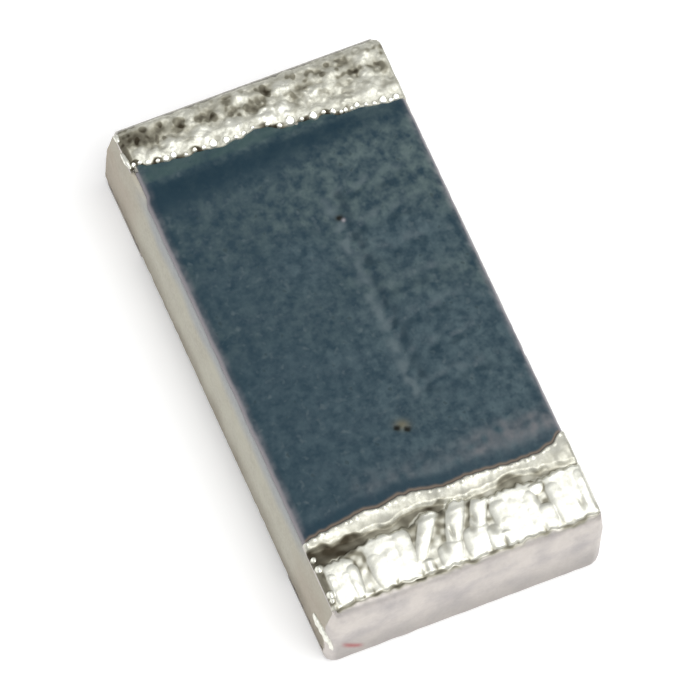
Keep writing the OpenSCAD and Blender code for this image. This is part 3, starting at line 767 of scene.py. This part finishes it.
def right_heights(along, y, depth):
    """Lift of the right tin: a strip with its crest by the coat, a wide furrow, a pad of lumps that are
    steep towards the furrow and fall gently to the end, a seam in front of them, and an even end face.
    With it come the shares of tarnish and painted shade, satin, matte and stain."""
    draw = np.random.default_rng(RIGHT_SEED)
    floor = FURROW_LEVEL * UM + 5 * UM * ramp(along, 1195, 1230)
    past, start, front = (along - line_at(line, y) for line in (STRIP_END, PAD_START, SEAM))
    share = depth / np.maximum(depth - past, 1 * UM)
    strip = floor + STRIP_RISE * UM * quarter_round(depth, 18 * UM)
    strip = strip - 5 * UM * smooth_step(share, 0.15, 0.85)
    strip = strip + UM * (0.4 * ripples(0.5 * along, y, 40, 54) + 1.6 * ripples(along, y, 130, 58))
    count = STRIP_BEADS
    place = np.linspace(-0.75, 0.75, count) * MM + draw.uniform(-14, 14, count) * UM
    size = draw.uniform(9, 19, count)[:, None] * UM
    centres = np.stack([line_at(RIGHT_EDGE, place) + draw.uniform(10, 22, count) * UM, place], axis=1)
    strip = strip + domes(along, y, centres, size * (1.3, 1.0), draw.uniform(2.0, 7.0, count) * UM, 1.0, 0.5)
    strip = strip + (floor - strip) * ramp(past, -24, 12)

    spec = np.array(RIGHT_LUMPS) * UM
    lumps = domes(along, y, spec[:, :2], spec[:, 2:4], spec[:, 4], 1.3, 0.25, spec[:, 5] / MM)
    small = scatter(draw, along, y, *RIGHT_SMALL)
    spec = np.array(EDGE_BEADS) * UM
    beads = domes(along, y, spec[:, :2], spec[:, 2:3] * (1.5, 1.0), 0.55 * spec[:, 2], 1.0, 0.5)
    facets = np.maximum.reduce([
        patch(along, y, (middle, across), (reach, half)) for middle, across, reach, half in RIGHT_FACETS])
    notch = np.maximum.reduce([
        hump(y, across, 12) * fall(-front, 0.3 * reach, reach) for across, reach in NOTCHES])
    beside = np.maximum.reduce([min(reach / 75, 1.0) * hump(y, across, 36) for across, reach in NOTCHES])
    verge = ramp(-y, 718, 742) * fall(along, 1465, 1500)
    body = (lumps + small) * (1.0 - 0.7 * facets) * (1.0 - 0.8 * verge) * (1.0 - 0.75 * notch)

    within = fall(front, -26, -3) * ramp(start, 0, 22)
    fine = 0.4 * UM * ripples(along, y, 70, 55)
    pad = floor + PAD_RISE * UM * quarter_round(start, 22 * UM) + (body + fine) * within
    pad = pad - PAD_FALL * UM * np.clip((along - 1220 * UM) / (310 * UM), 0.0, 1.0)
    lift = np.where(start > 0.0, pad, strip)
    lift = np.maximum(lift, np.where(beads > 0.0, floor + 16 * UM + beads, -1.0))
    lift = rimmed(lift, depth, 8, 40)
    even = ramp(front, -4, 16)
    face = 0.8 * UM * ripples(along, y, 130, 57) - FACE_FALL * UM * fall(front, -10, 190)
    lift = lift * (1.0 - even) + face * even - 3 * UM * hump(front, 1, 13)

    # Painted shadow in the furrow, below the step up to the pad's lumps.
    ragged = 8 * UM * ripples(along, y, 120, 64)
    deep = 0.01 * rounded_line(y, np.array(FURROW_PLACES) * UM, FURROW_SHADOW, 50.0)
    furrow = np.clip(deep + 0.08 * ripples(along, y, 80, 60), 0.0, 1.0)
    furrow = furrow * ramp(past + ragged, -30, 4) * fall(start + ragged, -10, 14)
    hollow = fall(body, 1, 7) * np.clip(0.56 + 0.18 * ripples(along, y, 60, 59), 0.20, 0.90)
    hollow = hollow * (1.0 - 0.6 * ramp(along, 1290, 1420))
    spots = smooth_step(ripples(along, y, 62, 66) + 0.5 * ramp(-y, -50, 300), 0.9, 2.1)
    spots = spots * fall(along, 1380, 1480)
    hollow = np.maximum.reduce([hollow, 0.75 * verge, 0.14 * spots, 0.62 * notch, 0.36 * facets])
    dulled = 0.20 + 0.14 * smooth_step(share + 0.12 * ripples(along, y, 150, 65), 0.25, 0.75)
    tarnish_and_shade = np.where(start > 0.0, hollow, dulled) * (1.0 - even)
    # Brown stains on the end face just below the seam: partly real stain and partly painted shade under the
    # fronts of the lumps.
    stain = 0.30 + 0.55 * smooth_step(ripples(y, 0.3 * along, 130, 63), 0.0, 1.6) + 0.5 * hump(y, -250, 210)
    stain = stain * ramp(front, -4, 8) * fall(front, 10, 46)
    shadow = np.clip(0.40 + 0.14 * ripples(y, 0.0, 105, 62) + 0.42 * beside, 0.2, 0.95) * hump(front, 2, 19)
    # The last term is painted shade along the inner rim by the coat.
    tarnish_and_shade = np.maximum.reduce([tarnish_and_shade, 0.68 * stain, furrow, shadow, 0.20 * fall(depth, 4, 12)])
    tarnish_and_shade = tarnish_and_shade * fall(beads, 0.5, 3)
    return lift, np.clip(tarnish_and_shade, 0.0, 1.0), even, 0.0, 1.0


class Finish:
    """A material with its Principled shader, and short ways to add nodes to it."""

    def __init__(self, name):
        self.material = bpy.data.materials.new(name)
        self.material.use_nodes = True
        self.nodes = self.material.node_tree.nodes
        self.links = self.material.node_tree.links
        self.shader = self.nodes["Principled BSDF"]
        self.place = self.nodes.new("ShaderNodeTexCoord").outputs["Object"]

    def set(self, **sockets):
        """Sets constant values on the shader's own sockets."""
        for key, value in sockets.items():
            self.shader.inputs[key.replace("_", " ")].default_value = value

    def feed(self, socket, value):
        """Links another node's output to a socket, or sets the socket to a constant."""
        if isinstance(value, bpy.types.NodeSocket):
            self.links.new(value, socket)
        else:
            socket.default_value = value

    def grain(self, scale, detail, low, high):
        """Mask of a noise of that scale and detail, from the shared group: 0 at low and 1 at high."""
        node = self.nodes.new("ShaderNodeGroup")
        node.node_tree = grain_group()
        self.links.new(self.place, node.inputs["Vector"])
        for key, value in (("Scale", scale), ("Detail", detail), ("Low", low), ("High", high)):
            node.inputs[key].default_value = value
        return node.outputs["Mask"]

    def value(self, name):
        """A value stored on the piece's own points."""
        node = self.nodes.new("ShaderNodeAttribute")
        node.attribute_name = name
        return node.outputs["Fac"]

    def blend(self, share, first, second):
        """Mix of two colours, each a constant or another node's output."""
        node = self.nodes.new("ShaderNodeMix")
        node.data_type = "RGBA"
        self.links.new(share, node.inputs[0])
        for socket, colour in ((node.inputs[6], first), (node.inputs[7], second)):
            self.feed(socket, colour if isinstance(colour, bpy.types.NodeSocket) else (*colour, 1.0))
        return node.outputs[2]

    def cover(self, colour, *layers):
        """The colour with each layer's tone blended over it in turn, by that layer's share."""
        for share, tone in layers:
            colour = self.blend(share, colour, tone)
        return colour

    def between(self, share, first, second, low=0.0, high=1.0):
        """Number that goes from first to second as share goes from low to high."""
        node = self.nodes.new("ShaderNodeMapRange")
        self.links.new(share, node.inputs["Value"])
        limits = {"From Min": low, "From Max": high, "To Min": first, "To Max": second}
        for key, value in limits.items():
            node.inputs[key].default_value = value
        return node.outputs["Result"]

    def upto(self, name, most):
        """A value stored on the points, times most."""
        return self.between(self.value(name), 0.0, most)

    def math(self, kind, first, second):
        """Arithmetic on two sockets, or a socket and a number."""
        node = self.nodes.new("ShaderNodeMath")
        node.operation = kind
        for socket, value in zip(node.inputs, (first, second)):
            self.feed(socket, value)
        return node.outputs[0]

    def to(self, output, socket):
        """Links an output to a socket of the shader."""
        self.links.new(output, self.shader.inputs[socket])

    def bump(self, height, distance):
        """Fine relief from a mask."""
        node = self.nodes.new("ShaderNodeBump")
        node.inputs["Distance"].default_value = distance
        self.links.new(height, node.inputs["Height"])
        self.to(node.outputs["Normal"], "Normal")


def grain_group():
    """Shared shader node group: a noise whose values from Low to High are stretched to a mask from 0 to 1."""
    found = bpy.data.node_groups.get("chip_grain")
    if found:
        return found
    group = bpy.data.node_groups.new("chip_grain", "ShaderNodeTree")
    group.interface.new_socket("Vector", in_out="INPUT", socket_type="NodeSocketVector")
    for key in ("Scale", "Detail", "Low", "High"):
        group.interface.new_socket(key, in_out="INPUT", socket_type="NodeSocketFloat")
    group.interface.new_socket("Mask", in_out="OUTPUT", socket_type="NodeSocketFloat")
    start, stop = group.nodes.new("NodeGroupInput"), group.nodes.new("NodeGroupOutput")
    noise, spread = group.nodes.new("ShaderNodeTexNoise"), group.nodes.new("ShaderNodeMapRange")
    for key in ("Vector", "Scale", "Detail"):
        group.links.new(start.outputs[key], noise.inputs[key])
    group.links.new(noise.outputs["Fac"], spread.inputs["Value"])
    group.links.new(start.outputs["Low"], spread.inputs["From Min"])
    group.links.new(start.outputs["High"], spread.inputs["From Max"])
    group.links.new(spread.outputs["Result"], stop.inputs["Mask"])
    return group


def coat_finish(coat):
    """Grey-blue resin: pale grains over blue, made lighter and darker across the top as painted light and
    shade, plainer and darker blue on the slopes at the ends and before the plated strip as painted shade, a
    painted highlight by the right terminal, painted highlight and shade on the sides of the trim cuts, a brown
    rim beside the pit, and ceramic that shows through where the coat thins out."""
    f = Finish("blue_overcoat_finish")
    speckle = f.math("POWER", f.grain(13000.0, 2.0, 0.37, 0.63), 1.25)
    fine = f.grain(30000.0, 1.0, 0.36, 0.64)
    cloud = f.grain(4500.0, 2.0, 0.38, 0.62)
    flecks = f.grain(21000.0, 1.0, 0.62, 0.78)
    spots = f.grain(26000.0, 0.5, 0.70, 0.80)
    pale = f.math("ADD", f.between(speckle, 0.05, 0.77), f.between(fine, 0.0, 0.34))
    pale = f.math("ADD", pale, f.math("MULTIPLY", f.value("upper"), f.between(speckle, -0.09, 0.11)))
    pale = f.math("MULTIPLY", pale, f.between(cloud, 0.84, 1.0))
    # The pale grains are made lighter or darker by the painted light and shade stored in tone.
    pale = f.math("MULTIPLY", pale, f.between(f.value("tone"), 0.32, 0.88))
    colour = f.cover(
        f.blend(pale, coat.blue, f.blend(f.value("upper"), coat.grey, coat.olive)),
        (f.between(flecks, 0.0, 0.50), coat.fleck),
        (f.between(spots, 0.0, 0.45), coat.spot),
        (f.upto("green", 0.8), coat.green),
        # Painted shade on the end slopes and before the plated strip.
        (f.upto("smooth_shaded_band", 0.80), coat.slope),
        # Painted highlight and shade on the sides of the trim cuts.
        (f.upto("ridge", 0.70), coat.ridge),
        (f.upto("dip_shade", 0.65), coat.dip_shade),
        # Painted highlight by the right terminal, on the pale grains.
        (f.math("MULTIPLY", f.value("lit_patch"), f.between(speckle, 0.5, 1.0)), coat.lit_patch),
        (f.value("brown"), coat.brown),
        (f.value("rust"), coat.rust),
        (f.value("dark"), coat.dark),
        (f.math("MULTIPLY", f.value("bare"), f.between(speckle, 0.1, 0.4)), coat.thin),
        (f.value("thin"), coat.thin))
    f.to(colour, "Base Color")
    rough = f.math("ADD", f.between(speckle, 0.46, 0.60), f.upto("dark", 0.35))
    f.to(f.math("ADD", rough, f.upto("smooth_shaded_band", 0.18)), "Roughness")
    f.set(Specular_IOR_Level=0.34)
    f.bump(fine, 0.35 * UM)
    return f.material


def ceramic_finish(ceramic):
    """Fired alumina: warm pale grey with slightly darker grains and clouds, bluer along the scribed edge,
    rosier towards the ends, and darker and browner towards the bottom edge as painted shade."""
    f = Finish("alumina_finish")
    grains = f.grain(60000.0, 3.0, 0.36, 0.66)
    clouds = f.grain(6000.0, 3.0, 0.35, 0.65)
    share = f.math("MULTIPLY", f.between(grains, 0.3, 0.9), f.between(clouds, 0.15, 1.0))
    colour = f.cover(
        f.blend(share, ceramic.pale, ceramic.stained),
        (f.upto("rosy", 0.9), ceramic.rosy),
        (f.upto("upper", 0.85), ceramic.upper),
        (f.upto("lower", 0.75), ceramic.lower))
    f.to(colour, "Base Color")
    f.to(f.between(grains, 0.55, 0.75), "Roughness")
    f.bump(grains, 0.5 * UM)
    return f.material


def tin_finish(tin):
    """Plated tin: bright on the lumps, greyer and then brown with tarnish in the hollows and with painted
    shade in the furrow, along the lip, at the seam and along the inner rim, even and satin on the end faces
    with a faint red stain."""
    f = Finish("tin_finish")
    tarnish_and_shade, satin = f.value("tarnish_and_shade"), f.value("satin")
    specks = f.grain(52000.0, 3.0, 0.38, 0.66)
    clouds = f.grain(5200.0, 3.0, 0.40, 0.70)
    clean = f.blend(f.between(specks, 0.0, 0.4), tin.bright, tin.speck)
    even = f.cover(
        f.blend(f.between(clouds, 0.0, 0.8), tin.satin, tin.cloud),
        (f.upto("shade", 0.75), tin.shade),
        (f.upto("mark", 0.9), tin.mark))
    colour = f.cover(
        f.blend(satin, clean, even),
        # Tarnish and painted shade, from lighter to darker.
        (f.between(tarnish_and_shade, 0.0, 1.0, 0.0, 0.6), tin.tarnish),
        (f.between(tarnish_and_shade, 0.0, 1.0, 0.5, 1.0), tin.dull))
    f.to(colour, "Base Color")
    rough = f.math("ADD", f.between(specks, 0.40, 0.50), f.between(satin, 0.0, 0.15))
    rough = f.math("ADD", rough, f.upto("matte", 0.15))
    f.to(f.math("ADD", rough, f.between(tarnish_and_shade, 0.0, 0.15)), "Roughness")
    f.to(f.between(tarnish_and_shade, 1.0, 0.7), "Metallic")
    f.bump(f.grain(60000.0, 2.0, 0.3, 0.7), 0.15 * UM)
    return f.material


def layer_finish(slot, pale, dark, metal, rough):
    """Fired or plated layer: two close tones in fine grains, with roughness that follows them."""
    f = Finish(slot + "_finish")
    grains = f.grain(45000.0, 3.0, 0.36, 0.66)
    f.to(f.blend(grains, pale, dark), "Base Color")
    f.to(f.between(grains, rough, rough + 0.15), "Roughness")
    f.set(Metallic=metal)
    f.bump(grains, 0.5 * UM)
    return f.material


# Hidden layers by material slot: pale and dark tone, metallic share and least roughness.
LAYERS = {
    "printed_silver": ((0.62, 0.60, 0.57), (0.50, 0.48, 0.45), 1.0, 0.50),
    "resistive_glaze": ((0.034, 0.034, 0.034), (0.020, 0.020, 0.021), 0.0, 0.55),
    "glass_glaze": ((0.18, 0.22, 0.19), (0.14, 0.175, 0.15), 0.0, 0.12),
    "edge_silver": ((0.56, 0.55, 0.52), (0.44, 0.43, 0.40), 1.0, 0.45),
    "nickel": ((0.47, 0.455, 0.41), (0.38, 0.37, 0.335), 1.0, 0.30),
}


class CHIP_OT_ceramic(bpy.types.Operator):
    """Build the fired block with its softened sides"""

    bl_idname = "chip.ceramic"
    bl_label = "Ceramic block"

    def execute(self, context):
        ceramic = context.scene.chip_ceramic
        rings, values = ceramic_rings(ceramic)
        tube_piece("ceramic_block", rings, values, ceramic_finish(ceramic), "ceramic_substrate")
        return {"FINISHED"}


class CHIP_OT_coat(bpy.types.Operator):
    """Build the grey-blue coat with its grain and trim relief"""

    bl_idname = "chip.coat"
    bl_label = "Coat"

    def execute(self, context):
        coat = context.scene.chip_coat
        rings, values = coat_rings(coat, context.scene.chip_ceramic)
        tube_piece("grained_coat", rings, values, coat_finish(coat), "overcoat")
        return {"FINISHED"}


class CHIP_OT_tin(bpy.types.Operator):
    """Build both tin terminals with their lumps"""

    bl_idname = "chip.tin"
    bl_label = "Tin terminals"

    def execute(self, context):
        tin, ceramic = context.scene.chip_tin, context.scene.chip_ceramic
        material = tin_finish(tin)
        end = TIN_HIGH.x - tin.far_inset
        rings, values = wrap_rings(tin, ceramic, end, tin.far_radius, LEFT_EDGE, left_heights)
        rings[..., 0] *= -1.0
        tube_piece("lumpy_tin_left", rings, values, material, "tin_plating_left")
        rings, values = wrap_rings(tin, ceramic, TIN_HIGH.x, tin.end_radius, RIGHT_EDGE, right_heights)
        tube_piece("lumpy_tin_right", rings, values, material, "tin_plating_right")
        # Raised lines of tin where the edges show glints.
        for name, spec in GLINT_RIDGES.items():
            rings, values = glint_ridge_rings(*spec)
            tube_piece(name, rings, values, material, None)
        return {"FINISHED"}


class CHIP_OT_layers(bpy.types.Operator):
    """Finish the printed, fired and plated layers under the coat and the tin"""

    bl_idname = "chip.layers"
    bl_label = "Inner layers"

    def execute(self, context):
        made = {slot: layer_finish(slot, *spec) for slot, spec in LAYERS.items()}
        for row in frame["record"]["subparts"]:
            if row["material_slot"] in made:
                node = frame["nodes"][row["node"]]
                node.data.materials.clear()
                node.data.materials.append(made[row["material_slot"]])
        return {"FINISHED"}


class CHIP_OT_stage(bpy.types.Operator):
    """Set up the floor, the lamps, the room and the camera"""

    bl_idname = "chip.stage"
    bl_label = "Stage"

    def execute(self, context):
        stage = context.scene.chip_stage
        build_floor(stage)
        build_lights(context.scene, stage)
        build_camera(context.scene, stage)
        context.scene.view_settings.view_transform = "Standard"
        return {"FINISHED"}


def build_floor(stage):
    """Pale disc under the chip: rings of points at growing radii, one-sided so that the solder side can be
    seen."""
    sides = 96
    radii = np.array([0.002, 0.01, 0.05, 0.2, 0.6])[:, None]
    turn = np.linspace(0.0, math.tau, sides + 1)[:-1]
    x, y = radii * np.cos(turn), radii * np.sin(turn)
    points = np.stack([x, y, np.zeros_like(x)], axis=-1).reshape(-1, 3)
    index = np.arange(len(points)).reshape(-1, sides)
    beside = np.roll(index, -1, axis=1)
    quads = np.stack([index[:-1], index[1:], beside[1:], beside[:-1]], axis=-1).reshape(-1, 4)
    mesh = bpy.data.meshes.new("studio_floor")
    mesh.from_pydata(points.tolist(), [], quads.tolist() + [index[0].tolist()])
    f = Finish("studio_floor_finish")
    f.set(Base_Color=(*stage.floor, 1.0), Roughness=0.9, Specular_IOR_Level=0.0)
    path, geometry, glow, add, clear, pick, either = (f.nodes.new("ShaderNode" + kind) for kind in (
        "LightPath", "NewGeometry", "Emission", "AddShader", "BsdfTransparent", "MixShader", "MixShader"))
    glow.inputs["Strength"].default_value = stage.glow
    seen = f.math("ADD", path.outputs["Is Camera Ray"], path.outputs["Is Glossy Ray"])
    plain = f.shader.outputs[0]
    fed = {
        add: (plain, glow.outputs[0]),
        pick: (seen, plain, add.outputs[0]),
        either: (geometry.outputs["Backfacing"], pick.outputs[0], clear.outputs[0]),
        f.nodes["Material Output"]: (either.outputs[0],),
    }
    for node, outputs in fed.items():
        for socket, output in zip(node.inputs, outputs):
            f.links.new(output, socket)
    mesh.materials.append(f.material)
    floor = bpy.data.objects.new("studio_floor", mesh)
    bpy.context.scene.collection.objects.link(floor)


def build_lights(scene, stage):
    """A large round lamp overhead on the near right and a small one low on the left, in a plain room that is
    brighter towards the ceiling."""
    lamps = {"key_lamp": (stage.key_power, stage.key_size, stage.key_place),
             "fill_lamp": (stage.fill_power, stage.fill_size, stage.fill_place)}
    for name, (power, size, place) in lamps.items():
        lamp = bpy.data.lights.new(name, "AREA")
        lamp.shape = "DISK"
        lamp.size = size
        lamp.energy = power
        holder = bpy.data.objects.new(name, lamp)
        scene.collection.objects.link(holder)
        holder.location = place
        holder.rotation_mode = "QUATERNION"
        holder.rotation_quaternion = (-Vector(place)).to_track_quat("-Z", "Y")
    world = bpy.data.worlds.new("room")
    scene.world = world
    world.use_nodes = True
    nodes, links = world.node_tree.nodes, world.node_tree.links
    direction = nodes.new("ShaderNodeTexCoord")
    split = nodes.new("ShaderNodeSeparateXYZ")
    level = nodes.new("ShaderNodeMapRange")
    links.new(direction.outputs["Generated"], split.inputs[0])
    links.new(split.outputs["Z"], level.inputs["Value"])
    level.inputs["To Min"].default_value = stage.wall
    level.inputs["To Max"].default_value = stage.sky
    links.new(level.outputs["Result"], nodes["Background"].inputs["Strength"])
    nodes["Background"].inputs["Color"].default_value = (1.0, 1.0, 1.0, 1.0)


def build_camera(scene, stage):
    """Long lens from high above the near left corner, turned about its own axis as the picture is."""
    data = bpy.data.cameras.new("picture_camera")
    data.lens = stage.lens
    data.sensor_width = SENSOR_WIDTH
    data.clip_start, data.clip_end = 1 * MM, 10.0
    camera = bpy.data.objects.new("picture_camera", data)
    scene.collection.objects.link(camera)
    place, target = Vector(stage.camera_place), Vector(stage.target)
    ahead = (target - place).normalized()
    level = ahead.cross(Vector((0.0, 0.0, 1.0))).normalized()
    below = ahead.cross(level)
    right = math.cos(stage.roll) * level + math.sin(stage.roll) * below
    down = ahead.cross(right)
    turn = Matrix((right, -down, -ahead)).transposed().to_4x4()
    camera.matrix_world = Matrix.Translation(place) @ turn
    scene.camera = camera


class CHIP_PT_panel(bpy.types.Panel):
    """Lists the pieces of the chip and their sizes and colours"""

    bl_idname = "CHIP_PT_panel"
    bl_label = "Chip resistor"
    bl_space_type = "VIEW_3D"
    bl_region_type = "UI"
    bl_category = "Chip"

    def draw(self, context):
        for operator in OPERATORS:
            self.layout.operator(operator.bl_idname)
        for name, group in SETTINGS.items():
            box = self.layout.box()
            for key in group.__annotations__:
                box.prop(getattr(context.scene, name), key)


OPERATORS = (CHIP_OT_ceramic, CHIP_OT_coat, CHIP_OT_tin, CHIP_OT_layers, CHIP_OT_stage)
SETTINGS = {"chip_ceramic": ChipCeramic, "chip_coat": ChipCoat, "chip_tin": ChipTin, "chip_stage": ChipStage}


def register():
    for kind in (*SETTINGS.values(), *OPERATORS, CHIP_PT_panel):
        bpy.utils.register_class(kind)
    for name, group in SETTINGS.items():
        setattr(bpy.types.Scene, name, PointerProperty(type=group))


def unregister():
    for name in SETTINGS:
        delattr(bpy.types.Scene, name)
    for kind in reversed((*SETTINGS.values(), *OPERATORS, CHIP_PT_panel)):
        bpy.utils.unregister_class(kind)


def main():
    register()
    bpy.ops.chip.ceramic()
    bpy.ops.chip.coat()
    bpy.ops.chip.tin()
    bpy.ops.chip.layers()
    bpy.ops.chip.stage()


if __name__ == "__main__":
    main()
